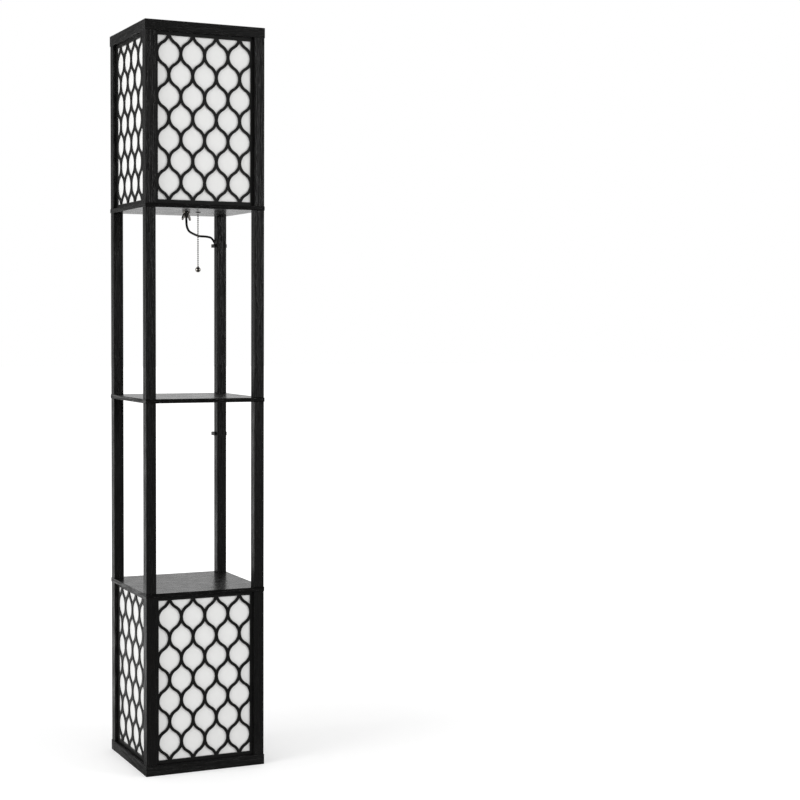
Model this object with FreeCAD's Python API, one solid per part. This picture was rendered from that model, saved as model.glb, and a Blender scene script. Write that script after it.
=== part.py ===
import FreeCAD, Part

import os
from math import atan2, ceil, cos, hypot, pi, sin, sqrt, tan

# A shelf floor lamp: a square tower of dark wood posts with a latticed lantern at its head and
# another at its foot, and two open shelf bays between them.
# Millimetres. The origin is on the floor at the centre of the plan, -Y is the front, +Z is up.

V = FreeCAD.Vector
os.makedirs("parts", exist_ok=True)

# ------------------------------------------------------------------ driving dimensions

# Frame
frame_width = 267.0          # boards and rails, edge to edge, both ways
rail_height = 22.0
board_thickness = 9.0
lantern_height = 360.0       # clear height between a lantern's rail and its board
bay_height = 404.5           # clear height of each open shelf bay
post_size = 22.0
post_setback = 1.0           # the posts stand this far inside the edges of the boards
seat_play = 0.3              # between a loose part and its seat

# Lattice panels and the white sheets behind them
lattice_thickness = 3.0
lattice_setback = 7.0        # from a post's outer face to the lattice's face
lattice_side_border = 7.0    # as seen between the posts
lattice_end_border = 8.0
column_pitch = 52.6          # from one ogee cell to the next in a row
row_pitch = 44.83            # from one row of cells to the next, which is half a column aside
strand_width = 6.0
belly_chords = 3             # flats that make each round side of a cell
row_reach = 4                # rows of cells above and below the middle row
diffuser_thickness = 0.8
groove_depth = 5.0
groove_play = 0.2            # at each face of the lattice and its sheet

# Bottom board, let into the bottom frame from below
bottom_board_thickness = 6.0
bottom_board_recess = 3.0    # above the floor
rebate_width = 8.0

# Studs that join the posts, and wood screws
stud_radius = 3.0
stud_bite = 15.0             # length in each post
frame_screw_radius = 2.3
frame_screw_length = 42.0
board_screw_radius = 1.6
board_screw_length = 15.0
board_screw_x = 58.5         # either side of the middle of the front and back rails
board_screw_edge = 4.6       # from the bottom board's edge
screw_head_ratio = 2.0       # head radius over shank radius
screw_head_height = 2.6
fastener_sides = 6
pilot_play = 0.2             # round a stud or screw
bottoming_play = 0.8         # past the end of a stud or screw

# Lamp holders and bulbs
holder_tube_radius = 4.9
holder_tube_bore = 3.2
holder_tube_drop = 13.0      # below the underside of the upper lantern's floor
holder_tube_rise = 8.0       # into the holder
holder_flange_radius = 22.0
holder_flange_height = 3.0
holder_body_radius = 17.0
holder_shoulder = 2.0        # from the flange up to the full body
upper_socket_height = 38.0   # socket floor above the board
base_cup_radius = 30.0
base_cup_height = 20.0
base_neck_radius = 19.0
base_neck_rise = 4.0         # above the cup
base_body_rise = 10.0
lower_socket_height = 30.0
socket_depth = 24.0
bulb_contact_radius = 4.0
bulb_cap_radius = 13.2
bulb_cap_taper = 3.0
bulb_cap_height = 25.0
bulb_pear = [                # radius and height above the contact
    (14.7, 28.0), (17.7, 39.0), (25.8, 60.5), (30.0, 77.0), (27.9, 92.4), (19.8, 104.5), (9.0, 110.0)]
turned_sides = 12

# Wing nut under the upper lantern
nut_top_radius = 8.5
nut_foot_radius = 6.0
nut_height = 10.0
nut_land = 2.0               # straight part at the top of the hub
wing_points = [              # outline of a wing: distance from the axis, height from the board
    (5.5, -3.0), (11.0, -3.5), (16.0, -8.5), (19.0, -14.5), (18.2, -17.7), (15.8, -18.5),
    (13.2, -16.5), (8.0, -10.0), (5.5, -10.0)]
wing_thickness = 3.0
wing_angle = 43.0

# Pull chain
chain_offset = 27.0          # from the lamp's axis, towards +X
bead_radius = 1.6
bead_neck_radius = 0.6
bead_pitch = 4.2
bead_sides = 6
chain_ball_radius = 6.0
ball_rings = 6               # flats from pole to pole
chain_ball_drop = 126.0      # centre of the ball below the underside of the lantern's floor
chain_rise = 34.0            # upper end of the chain above that underside
chain_pivot_drop = 3.0       # where the hanging chain starts to swing
chain_pivot_play = 0.3
bushing_bore = 2.6
bushing_radius = 4.0
bushing_flange_radius = 6.5
bushing_flange_height = 1.5
switch_arm_width = 9.0
switch_arm_height = 11.0
switch_arm_root = 4.0        # sunk in the holder's body

# Lead, its clips and its grip
lead_diameter = 5.0
lead_sides = 6
lead_chord_turn = pi / 7     # most that a flat of a bend turns
lead_gap = 0.3               # from the lead to the edges of the boards
clip_height = 8.0
clip_wall = 3.0
clip_arm = 4.0               # thickness of the arms beside the post
clip_chamfer = 2.0
clip_reach = 18.0            # how far the arms lie along the post
upper_clip_drop = 67.0       # below the underside of the board above it
lower_clip_drop = 85.0
lead_level = 15.5            # height of the leads' holes in the back rail
lead_hole_play = 1.3
clip_play = 0.7              # between the lead and a clip's base
grip_x = 70.0
grip_body_radius = 3.4
grip_flange_radius = 5.5
grip_flange_thickness = 2.0
grip_taper = 30.0
grip_shoulder_radius = 4.6
grip_shoulder = 1.0          # from the flange to the taper
grip_lip = 0.8               # wall at the sleeve's thin end
grip_stub = 2.5              # inside the rail
upper_lead_x = 100.0         # where the upper lead enters the base

# Inline foot switch, plug and the put-away coil, all lying on the floor behind the lamp
switch_length = 48.0
switch_width = 30.0
switch_height = 17.0
switch_bevel = 4.0
switch_snout = 5.0
snout_wall = 2.0
button_radius = 8.0
button_height = 8.5
button_chamfer = 1.5
button_travel = 3.0
button_stand = 3.5           # above the case
button_play = 0.3
coil_x = -61.0
coil_stand_off = 22.1        # from the frame's back to the middle of the outer turn
coil_mid_radius = 30.5
coil_turns = 4               # in each of the two layers
coil_pitch = 5.6             # from turn to turn and from layer to layer
coil_draw = 1.2              # how far the climbing half turn is drawn in
coil_chords = 14             # flats in each turn
coil_floor_gap = 0.1
coil_switch_tail = 36.0      # straight ends of the coil
coil_plug_tail = 10.0
least_coil_gap = 0.4
plug_body_length = 26.0
plug_body_width = 22.0
plug_body_height = 15.0
plug_neck_length = 18.0
plug_neck_width = 7.0
plug_neck_end_width = 10.0
plug_neck_end_height = 9.0
plug_shoulder = 6.0
blade_length = 17.5
blade_width = 6.3
blade_thickness = 1.5
blade_spacing = 12.7
blade_root = 1.0             # sunk in the plug

# Way of the upper lead from its tube to the outside corner of the back right post
lead_tube_start = 5.0        # below the upper end of the tube
lead_tube_exit = 7.0         # straight below the tube
lead_sag = [                 # share of the way, depth below the lantern's floor
    (0.024, 33.0), (0.096, 41.5), (0.235, 45.2), (0.46, 49.2), (0.655, 48.0), (0.81, 47.5), (1.0, 49.0)]
lead_corner_x = -2.5         # from the post's inner face
lead_corner_y = 0.6          # from the lead's line behind the frame
lead_wander = [              # x from the post's centre and y from the line, on the way down
    (-2.1, -0.1), (0.1, 0.0), (0.7, 0.1), (-0.1, 0.1), (0.4, 0.3), (-0.3, 0.2)]
lead_fall = (73.0, 105.0, 149.0)    # depths of the first three of these below the lantern's floor
lead_leave = 96.5            # height of the last of these above the hole in the back rail
lead_swing = 38.0            # behind the post's inner face, where the lead turns in
lead_entry = 3.1             # in front of that face, where it may bend again

# Ways of the leads inside the base, from the holder's cup, and of the mains lead to the switch
base_reach = 62.0            # end of the straight way out of the cup, from the axis
inner_bend = (1.0, 18.0)      # back from the upper lead's hole
inner_turn = (12.0, 40.0)
base_bend = (13.0, 40.0)     # back from the grip's inner end
base_run = 18.0              # straight into the grip
mains_fall = [               # x from the grip, y from its end, height
    (0.0, 12.5, 15.5), (0.2, 25.0, 9.8), (0.8, 35.8, 4.6)]
mains_turn = [               # x from the switch's end, y from the switch
    (37.9, -21.9), (29.9, -8.0), (16.0, 0.0)]

# ------------------------------------------------------------------ levels and plan lines

lower_lantern_bottom = rail_height
lower_lantern_top = lower_lantern_bottom + lantern_height
lower_bay_bottom = lower_lantern_top + board_thickness
lower_bay_top = lower_bay_bottom + bay_height
upper_bay_bottom = lower_bay_top + board_thickness
upper_bay_top = upper_bay_bottom + bay_height
upper_lantern_bottom = upper_bay_top + board_thickness
upper_lantern_top = upper_lantern_bottom + lantern_height
lamp_top = upper_lantern_top + rail_height

half_width = frame_width / 2
post_outer = half_width - post_setback
post_inner = post_outer - post_size
post_centre = (post_outer + post_inner) / 2

bottom_board_top = bottom_board_recess + bottom_board_thickness
rebate_face = post_inner + rebate_width

lead_y = half_width + lead_gap + lead_diameter / 2
coil_outer = coil_mid_radius + coil_turns * coil_pitch / 2
coil_y = half_width + coil_stand_off + coil_outer
coil_low = lead_diameter / 2 / cos(pi / lead_sides) + coil_floor_gap
tube_bottom = upper_bay_top - holder_tube_drop
tube_top = upper_lantern_bottom + holder_tube_rise
grip_start = post_inner - grip_stub
grip_end = half_width + grip_flange_thickness + grip_taper

sides = {"front": 0, "right": 90, "back": 180, "left": 270}
corner_turns = {"front_left": 0, "front_right": 90, "back_right": 180, "back_left": 270}


# ------------------------------------------------------------------ helpers

def box(x0, x1, y0, y1, z0, z1):
    return Part.makeBox(x1 - x0, y1 - y0, z1 - z0, V(x0, y0, z0))


def regular(count, radius):
    """Corners of a regular polygon round the origin whose flats lie at the radius."""
    corner = radius / cos(pi / count)
    angles = [(2 * i + 1) * pi / count for i in range(count)]
    return [(corner * cos(a), corner * sin(a)) for a in angles]


def outline_face(points):
    return Part.Face(Part.makePolygon(points + points[:1]))


def prism(count, radius, x, y, z0, z1):
    """An upright regular prism, with its flats at the radius."""
    face = outline_face([V(x + px, y + py, z0) for px, py in regular(count, radius)])
    return face.extrude(V(0, 0, z1 - z0))


def closed_solid(faces):
    solid = Part.Solid(Part.Shell(faces))
    if solid.Volume < 0:
        solid.reverse()
    return solid


def skinned(rings):
    """A solid with flat sides through rings of points, each ring joined to the next."""
    faces = [outline_face(rings[0]), outline_face(rings[-1])]
    for near, far in zip(rings, rings[1:]):
        for i in range(len(near)):
            faces.append(outline_face([near[i - 1], near[i], far[i], far[i - 1]]))
    return closed_solid(faces)


def turned(profile, count):
    """A turning about Z with flats, from a closed profile of (radius, height) points."""
    unit = regular(count, 1)
    rings = [[V(r * px, r * py, z) for px, py in unit] if r > 0 else [V(0, 0, z)] for r, z in profile]
    faces = []
    for near, far in zip(rings, rings[1:] + rings[:1]):
        wide, narrow = (near, far) if len(near) >= len(far) else (far, near)
        if len(wide) == 1:
            continue
        if len(narrow) == 1:
            faces.append(outline_face(wide))
            continue
        for i in range(count):
            faces.append(outline_face([wide[i - 1], wide[i], narrow[i], narrow[i - 1]]))
    return closed_solid(faces)


def moved(shape, x=0.0, y=0.0, z=0.0):
    copy = shape.copy()
    copy.translate(V(x, y, z))
    return copy


def turned_about_z(shape, angle):
    copy = shape.copy()
    copy.rotate(V(0, 0, 0), V(0, 0, 1), angle)
    return copy


def at_corners(shape):
    """Four copies of what belongs to the front left corner, one for each corner."""
    return [turned_about_z(shape, turn) for turn in corner_turns.values()]


def export(shape, node):
    shape.exportStep(f"parts/{node}.step")


# ------------------------------------------------------------------ frame

def post(z0, z1, grooved, low_bore, high_bore):
    """The front left post of one level, with bores for what holds its ends.

    A lantern's post has two grooves, one for each panel that it carries.
    """
    blank = box(-post_outer, -post_inner, -post_outer, -post_inner, z0, z1)
    cuts = []
    if grooved:
        face = -post_outer + lattice_setback - groove_play
        back = face + lattice_thickness + diffuser_thickness + 2 * groove_play
        floor = -post_inner - groove_depth
        cuts += [box(floor, -post_inner, face, back, z0, z1), box(face, back, floor, -post_inner, z0, z1)]
    low_radius, low_depth = low_bore
    high_radius, high_depth = high_bore
    centre = -post_centre
    cuts.append(prism(fastener_sides, low_radius, centre, centre, z0, z0 + low_depth))
    cuts.append(prism(fastener_sides, high_radius, centre, centre, z1 - high_depth, z1))
    return blank.cut(cuts)


stud_bore = (stud_radius + pilot_play, stud_bite + bottoming_play)
screw_bore = (frame_screw_radius + pilot_play, frame_screw_length - rail_height + bottoming_play)
levels = {
    "lower_lantern_post": (lower_lantern_bottom, lower_lantern_top, True, screw_bore, stud_bore),
    "lower_bay_post": (lower_bay_bottom, lower_bay_top, False, stud_bore, stud_bore),
    "upper_bay_post": (upper_bay_bottom, upper_bay_top, False, stud_bore, stud_bore),
    "upper_lantern_post": (upper_lantern_bottom, upper_lantern_top, True, stud_bore, screw_bore)}
for level, sizes in levels.items():
    blank_post = post(*sizes)
    for corner, turn in corner_turns.items():
        export(turned_about_z(blank_post, turn), f"{level}_{corner}")


def board(z0, extra_bores):
    """A square board with a bore for the stud at each corner."""
    slab = box(-half_width, half_width, -half_width, half_width, z0, z0 + board_thickness)
    top = z0 + board_thickness
    bores = at_corners(prism(fastener_sides, stud_radius + pilot_play, -post_centre, -post_centre, z0, top))
    bores += [prism(turned_sides, radius, x, 0, z0, top) for radius, x in extra_bores]
    return slab.cut(bores)


export(board(lower_lantern_top, []), "lower_lantern_top")
export(board(lower_bay_top, []), "middle_shelf")
lantern_bores = [(holder_tube_radius + pilot_play, 0), (bushing_radius + pilot_play, chain_offset)]
export(board(upper_bay_top, lantern_bores), "upper_lantern_floor")

# The front and back rails run the full width, and the side rails butt between them.
screw_clearance = frame_screw_radius + pilot_play
head_radius = frame_screw_radius * screw_head_ratio
head_pocket = head_radius + pilot_play


def long_rail(z0, head_level):
    """The front rail of a frame, bored for the screws that hold it to its posts."""
    rail = box(-half_width, half_width, -half_width, -post_inner, z0, z0 + rail_height)
    shank = prism(fastener_sides, screw_clearance, -post_centre, -post_centre, z0, z0 + rail_height)
    head = prism(
        fastener_sides, head_pocket, -post_centre, -post_centre, head_level, head_level + screw_head_height)
    return rail.cut(at_corners(shank) + at_corners(head))


top_rail = long_rail(upper_lantern_top, lamp_top - screw_head_height)
side_rail = box(-half_width, -post_inner, -post_inner, post_inner, 0, rail_height)
export(top_rail, "top_rail_front")
export(turned_about_z(top_rail, 180), "top_rail_back")
export(moved(side_rail, z=upper_lantern_top), "top_rail_left")
export(moved(turned_about_z(side_rail, 180), z=upper_lantern_top), "top_rail_right")

# The bottom rails are rebated from below for the bottom board.
rebate = box(-rebate_face, rebate_face, -rebate_face, rebate_face, 0, bottom_board_top)
bottom_edge = rebate_face - seat_play
screw_line = bottom_edge - board_screw_edge
board_screw_xs = (-board_screw_x, board_screw_x)
board_screw_top = bottom_board_recess + board_screw_length
board_screw_depth = board_screw_top + bottoming_play
rail_pilots = [
    prism(fastener_sides, board_screw_radius + pilot_play, x, -screw_line, 0, board_screw_depth)
    for x in board_screw_xs]
bottom_rail = long_rail(0, 0).cut([rebate] + rail_pilots)
export(bottom_rail, "bottom_rail_front")

lead_hole_radius = lead_diameter / 2 + lead_hole_play
rail_bore_length = half_width - post_inner


def rail_bore(radius, x):
    """A bore through the back rail at the leads' height."""
    bore = prism(fastener_sides * 2, radius, 0, 0, 0, rail_bore_length)
    bore.rotate(V(0, 0, 0), V(1, 0, 0), -90)
    return moved(bore, x, post_inner, lead_level)


back_rail = turned_about_z(bottom_rail, 180).cut([
    rail_bore(lead_hole_radius, upper_lead_x),
    rail_bore(grip_body_radius + pilot_play, grip_x)])
export(back_rail, "bottom_rail_back")
side_rail = side_rail.cut(rebate)
export(side_rail, "bottom_rail_left")
export(turned_about_z(side_rail, 180), "bottom_rail_right")

# Bottom board, held up into the rebate by screws, and carrying the lower lamp holder
holder_screws = [(-base_cup_radius / 2, 0), (base_cup_radius / 2, 0)]
board_screws = [(x, sy * screw_line) for x in board_screw_xs for sy in (-1, 1)] + holder_screws
bottom_board = box(
    -bottom_edge, bottom_edge, -bottom_edge, bottom_edge, bottom_board_recess, bottom_board_top)
board_head_radius = board_screw_radius * screw_head_ratio
for x, y in board_screws:
    bottom_board = bottom_board.cut([
        prism(fastener_sides, board_screw_radius + pilot_play, x, y, 0, bottom_board_top),
        prism(fastener_sides, board_head_radius + pilot_play, x, y, 0,
              bottom_board_recess + screw_head_height)])
export(bottom_board, "bottom_board")


# ------------------------------------------------------------------ fasteners

def screw(radius, length):
    """A wood screw that points up, its head's face at z = 0."""
    head = radius * screw_head_ratio
    profile = [(0, 0), (head, 0), (radius, screw_head_height), (radius, length), (0, length)]
    return turned(profile, fastener_sides)


stud_length = board_thickness + 2 * stud_bite
stud_levels = [z - stud_bite for z in (lower_lantern_top, lower_bay_top, upper_bay_top)]
studs = []
for z in stud_levels:
    studs += at_corners(prism(fastener_sides, stud_radius, -post_centre, -post_centre, z, z + stud_length))
export(Part.makeCompound(studs), "post_studs")

rising_screw = screw(frame_screw_radius, frame_screw_length)
driven_screw = rising_screw.copy()
driven_screw.rotate(V(0, 0, 0), V(1, 0, 0), 180)
frame_screws = at_corners(moved(rising_screw, -post_centre, -post_centre))
frame_screws += at_corners(moved(driven_screw, -post_centre, -post_centre, lamp_top))
export(Part.makeCompound(frame_screws), "frame_screws")

board_screw = screw(board_screw_radius, board_screw_length)
board_screw_set = [moved(board_screw, x, y, bottom_board_recess) for x, y in board_screws]
export(Part.makeCompound(board_screw_set), "bottom_board_screws")


# ------------------------------------------------------------------ lattices and diffusers

def ogee_cell(x0, z0):
    """One cell of the lattice: round bellies that sweep over the cells beside it to a point.

    The bellies are arcs about the cell's own centre, and the shoulders are arcs about the centres
    of its four diagonal neighbours, one strand further out.
    """
    half_pitch = column_pitch / 2
    belly_radius = (hypot(half_pitch, row_pitch) - strand_width) / 2
    shoulder_radius = belly_radius + strand_width
    apex = row_pitch - sqrt(shoulder_radius ** 2 - half_pitch ** 2)
    meeting = atan2(row_pitch, half_pitch)
    half_step = meeting / belly_chords
    drawn_radius = belly_radius * (1 + 1 / cos(half_step)) / 2
    right = [(0, apex)]
    for i in range(belly_chords + 1):
        angle = meeting - 2 * i * half_step
        reach = belly_radius if i in (0, belly_chords) else drawn_radius
        right.append((reach * cos(angle), reach * sin(angle)))
    left = [(-x, -z) for x, z in right]
    return [(x0 + x, z0 + z) for x, z in right + left]


def lattice_panel(z0, z1):
    """The front lattice of a lantern, between the given rail and board levels."""
    front = -post_outer + lattice_setback
    half_panel = post_inner + groove_depth - seat_play
    half_window = post_inner - lattice_side_border
    low, high = z0 + lattice_end_border, z1 - lattice_end_border
    middle = (z0 + z1) / 2
    window = box(-half_window, half_window, front, front + lattice_thickness, low, high)
    cells = []
    for row in range(-row_reach, row_reach + 1):
        shift = column_pitch / 2 if row % 2 else 0
        reach = int((half_window + column_pitch / 2 + shift) // column_pitch)
        for column in range(-reach, reach + 1):
            x = column * column_pitch + shift
            if abs(x) > half_window + column_pitch / 2 - strand_width:
                continue
            outline = [V(px, front, pz) for px, pz in ogee_cell(x, middle + row * row_pitch)]
            cell = outline_face(outline).extrude(V(0, lattice_thickness, 0))
            cells.append(cell.common(window))
    plate = box(-half_panel, half_panel, front, front + lattice_thickness, z0 + seat_play, z1 - seat_play)
    return plate.cut(cells)


def diffuser_sheet(z0, z1):
    front = -post_outer + lattice_setback + lattice_thickness
    half_sheet = post_inner + groove_depth - seat_play
    return box(-half_sheet, half_sheet, front, front + diffuser_thickness, z0 + seat_play, z1 - seat_play)


lanterns = {
    "lower": (lower_lantern_bottom, lower_lantern_top),
    "upper": (upper_lantern_bottom, upper_lantern_top)}
for lantern, span in lanterns.items():
    panel = lattice_panel(*span)
    sheet = diffuser_sheet(*span)
    for side, turn in sides.items():
        export(turned_about_z(panel, turn), f"{lantern}_lattice_{side}")
    sheets = [turned_about_z(sheet, turn) for turn in sides.values()]
    export(Part.makeCompound(sheets), f"{lantern}_diffusers")


# ------------------------------------------------------------------ lamp holders and bulbs

def bulb(z0):
    """A pear bulb standing on its contact, with its screw cap as a plain cylinder."""
    profile = [
        (0, 0), (bulb_contact_radius, 0), (bulb_cap_radius, bulb_cap_taper),
        (bulb_cap_radius, bulb_cap_height), *bulb_pear, (0, bulb_pear[-1][1])]
    return moved(turned(profile, turned_sides), z=z0)


socket_radius = bulb_cap_radius + seat_play
tube_recess = holder_tube_radius + pilot_play

# Upper holder: a flange on the board, a body with the pull switch in it, and an open socket.
# The switch's arm reaches out over the chain's bushing.
upper_profile = [
    (tube_recess, 0), (holder_flange_radius, 0), (holder_flange_radius, holder_flange_height),
    (holder_body_radius, holder_flange_height + holder_shoulder),
    (holder_body_radius, upper_socket_height + socket_depth),
    (socket_radius, upper_socket_height + socket_depth), (socket_radius, upper_socket_height),
    (0, upper_socket_height), (0, holder_tube_rise), (tube_recess, holder_tube_rise)]
upper_holder = moved(turned(upper_profile, turned_sides), z=upper_lantern_bottom)
chain_top = upper_bay_top + chain_rise
arm_bottom = chain_top - switch_arm_height + bead_pitch / 2
arm_half = switch_arm_width / 2
switch_arm = box(
    holder_body_radius - switch_arm_root, chain_offset + arm_half, -arm_half, arm_half,
    arm_bottom, arm_bottom + switch_arm_height)
chain_bore = prism(
    bead_sides * 2, bushing_bore, chain_offset, 0, arm_bottom, chain_top + chain_pivot_play)
export(upper_holder.fuse(switch_arm).cut(chain_bore).removeSplitter(), "upper_lamp_holder")

# Lower holder: a broad base cup with the lead terminals in it, and the same socket.
lower_profile = [
    (0, 0), (base_cup_radius, 0), (base_cup_radius, base_cup_height),
    (base_neck_radius, base_cup_height + base_neck_rise),
    (holder_body_radius, base_cup_height + base_body_rise),
    (holder_body_radius, lower_socket_height + socket_depth),
    (socket_radius, lower_socket_height + socket_depth), (socket_radius, lower_socket_height),
    (0, lower_socket_height)]
lower_holder = moved(turned(lower_profile, turned_sides), z=bottom_board_top)
for x, y in holder_screws:
    lower_holder = lower_holder.cut(prism(
        fastener_sides, board_screw_radius + pilot_play, x, y, bottom_board_top, board_screw_depth))
export(lower_holder, "lower_lamp_holder")

export(bulb(upper_lantern_bottom + upper_socket_height), "upper_bulb")
export(bulb(bottom_board_top + lower_socket_height), "lower_bulb")

# Hollow threaded tube that draws the upper holder down on the board, with the lead inside it
tube_profile = [
    (holder_tube_bore, tube_bottom), (holder_tube_radius, tube_bottom),
    (holder_tube_radius, tube_top), (holder_tube_bore, tube_top)]
export(turned(tube_profile, turned_sides), "holder_tube")

# Wing nut, hub up against the board, wings flaring down and out
nut_profile = [
    (tube_recess, -nut_height), (nut_foot_radius, -nut_height), (nut_top_radius, -nut_land),
    (nut_top_radius, 0), (tube_recess, 0)]
nut = turned(nut_profile, turned_sides)
wing = outline_face([V(r, -wing_thickness / 2, z) for r, z in wing_points]).extrude(V(0, wing_thickness, 0))
nut = nut.fuse([wing, turned_about_z(wing, 180)]).removeSplitter()
nut = turned_about_z(nut, wing_angle)
export(moved(nut, z=upper_bay_top), "wing_nut")


# ------------------------------------------------------------------ pull chain

def beads(z_top, z_bottom):
    """A run of ball chain between two heights, drawn as beads with narrow necks."""
    count = max(round((z_top - z_bottom) / bead_pitch), 1)
    pitch = (z_top - z_bottom) / count
    profile = [(0, z_top)]
    for i in range(count):
        profile += [(bead_neck_radius, z_top - i * pitch), (bead_radius, z_top - (i + 0.5) * pitch)]
    profile += [(bead_neck_radius, z_bottom), (0, z_bottom)]
    return moved(turned(profile, bead_sides), chain_offset)


chain_pivot = upper_bay_top - chain_pivot_drop
ball_centre = upper_bay_top - chain_ball_drop
export(beads(chain_top, chain_pivot + chain_pivot_play), "switch_chain")
export(beads(chain_pivot - chain_pivot_play, ball_centre + chain_ball_radius), "pull_chain")

ball_profile = []
for i in range(ball_rings + 1):
    angle = pi * i / ball_rings
    radius = max(chain_ball_radius * sin(angle), bead_neck_radius)
    ball_profile.append((radius, ball_centre - chain_ball_radius * cos(angle)))
ball_profile = [(0, ball_profile[0][1])] + ball_profile + [(0, ball_profile[-1][1])]
export(moved(turned(ball_profile, turned_sides), chain_offset), "chain_ball")

bushing_profile = [
    (bushing_bore, upper_bay_top - bushing_flange_height),
    (bushing_flange_radius, upper_bay_top - bushing_flange_height),
    (bushing_flange_radius, upper_bay_top), (bushing_radius, upper_bay_top),
    (bushing_radius, upper_lantern_bottom), (bushing_bore, upper_lantern_bottom)]
export(moved(turned(bushing_profile, bead_sides * 2), chain_offset), "chain_bushing")


# ------------------------------------------------------------------ leads

def rounded_path(points):
    """Stations along straight runs joined by tangent arcs, each as large as its two runs allow."""
    points = [V(*p) for p in points]
    stations, bends = [points[0]], []
    for before, corner, after in zip(points, points[1:], points[2:]):
        run_in, run_out = corner - before, after - corner
        turn = run_in.getAngle(run_out)
        setback = 0.45 * min(run_in.Length, run_out.Length)
        radius = setback / tan(turn / 2)
        bends.append(radius)
        heading_in, heading_out = run_in.normalize(), run_out.normalize()
        inward = (heading_out - heading_in).normalize()
        centre = corner + inward * (radius / cos(turn / 2))
        chords = ceil(turn / lead_chord_turn)
        spoke = corner - heading_in * setback - centre
        for i in range(chords + 1):
            angle = turn * i / chords
            stations.append(centre + spoke * cos(angle) + heading_in * (radius * sin(angle)))
    return stations + [points[-1]], bends


def lead(stations):
    """A lead with flats along its stations, mitred where two short lengths of it meet."""
    headings = [(b - a).normalize() for a, b in zip(stations, stations[1:])]
    across = headings[0].cross(V(0, 0, 1) if abs(headings[0].z) < 0.9 else V(1, 0, 0)).normalize()
    upward = across.cross(headings[0])
    ring = [stations[0] + across * px + upward * py for px, py in regular(lead_sides, lead_diameter / 2)]
    rings = [ring]
    last = headings[-1]
    for i, station in enumerate(stations[1:]):
        heading = headings[i]
        mitre = heading + (headings[i + 1] if i + 1 < len(headings) else last)
        ring = [p + heading * ((station - p).dot(mitre) / heading.dot(mitre)) for p in ring]
        rings.append(ring)
    return skinned(rings)


def check_lead(name, solid, stations, bends):
    """Prints a lead's length, its bends, and its volume against its section times its length."""
    length = sum((b - a).Length for a, b in zip(stations, stations[1:]))
    area = lead_sides * (lead_diameter / 2) ** 2 * tan(pi / lead_sides)
    print(f"{name}: length {length:.0f}, volume ratio {solid.Volume / (area * length):.4f}, "
          f"bends {' '.join(f'{b:.0f}' for b in bends)}")


# Clips of moulded plastic, sprung round the back right post with the lead behind it
clip_inner = lead_y + lead_diameter / 2 + clip_play
arm_inner = post_size / 2 + pilot_play
arm_outer = arm_inner + clip_arm
clip_outer = clip_inner + clip_wall
clip_tip = clip_inner - clip_reach - clip_wall
clip_outline = [
    (-arm_inner, clip_tip), (-arm_inner, clip_inner), (arm_inner, clip_inner), (arm_inner, clip_tip),
    (arm_outer, clip_tip), (arm_outer, clip_outer - clip_chamfer), (arm_outer - clip_chamfer, clip_outer),
    (-arm_outer + clip_chamfer, clip_outer), (-arm_outer, clip_outer - clip_chamfer), (-arm_outer, clip_tip)]
clip = outline_face([V(post_centre + x, y, -clip_height / 2) for x, y in clip_outline])
clip = clip.extrude(V(0, 0, clip_height))
clip_levels = (upper_bay_top - upper_clip_drop, lower_bay_top - lower_clip_drop)
export(Part.makeCompound([moved(clip, z=z) for z in clip_levels]), "cord_clips")

# Cord grip through the back rail, its sleeve tapering down to the lead
grip_profile = [
    (0, -rail_bore_length - grip_stub), (grip_body_radius, -rail_bore_length - grip_stub),
    (grip_body_radius, 0), (grip_flange_radius, 0), (grip_flange_radius, grip_flange_thickness),
    (grip_shoulder_radius, grip_flange_thickness + grip_shoulder),
    (lead_diameter / 2 + grip_lip, grip_flange_thickness + grip_taper),
    (0, grip_flange_thickness + grip_taper)]
grip = turned(grip_profile, fastener_sides * 2)
grip.rotate(V(0, 0, 0), V(1, 0, 0), -90)
export(moved(grip, grip_x, half_width, lead_level), "cord_grip")


# ------------------------------------------------------------------ put-away coil

def coil_station(turns):
    """Point after so many turns: from the outside in, up a layer in half a turn, and out again."""
    angle = pi / 2 + 2 * pi * turns
    climb = min(max(2 * (turns - coil_turns), 0), 1)
    wound = coil_turns - abs(turns - coil_turns - 0.25) + 0.25
    radius = coil_outer - min(wound, coil_turns) * coil_pitch - coil_draw * sin(pi * climb)
    height = coil_low + coil_pitch * (1 - cos(pi * climb)) / 2
    return V(coil_x + radius * cos(angle), coil_y + radius * sin(angle), height)


coil_steps = (2 * coil_turns + 0.5) * coil_chords
winding = [coil_station(i / coil_chords) for i in range(int(coil_steps) + 1)]
coil_start = winding[0] + V(coil_switch_tail, 0, 0)
coil_end = winding[-1] + V(coil_plug_tail, 0, 0)
coil_stations = [coil_start] + winding + [coil_end]
coil = lead(coil_stations)
check_lead("lead_coil", coil, coil_stations, [coil_outer, coil_outer - coil_turns * coil_pitch])
export(coil, "lead_coil")

# Least gap of the coil to itself, between points more than half of its smallest turn apart
step = 2.0
walk = []
for near, far in zip(coil_stations, coil_stations[1:]):
    count = max(round((far - near).Length / step), 1)
    walk += [near + (far - near) * (i / count) for i in range(count)]
skip = int(pi * (coil_outer - coil_turns * coil_pitch) / step)
nearest = min((walk[i] - walk[j]).Length for i in range(len(walk)) for j in range(i + skip, len(walk)))
print(f"lead_coil: least gap to itself {nearest - lead_diameter:.2f}, asked {least_coil_gap}")


# ------------------------------------------------------------------ other leads

case_half = switch_length / 2
switch_x = coil_start.x + switch_snout + case_half
switch_y = coil_start.y
switch_end = switch_x + case_half + switch_snout

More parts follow.
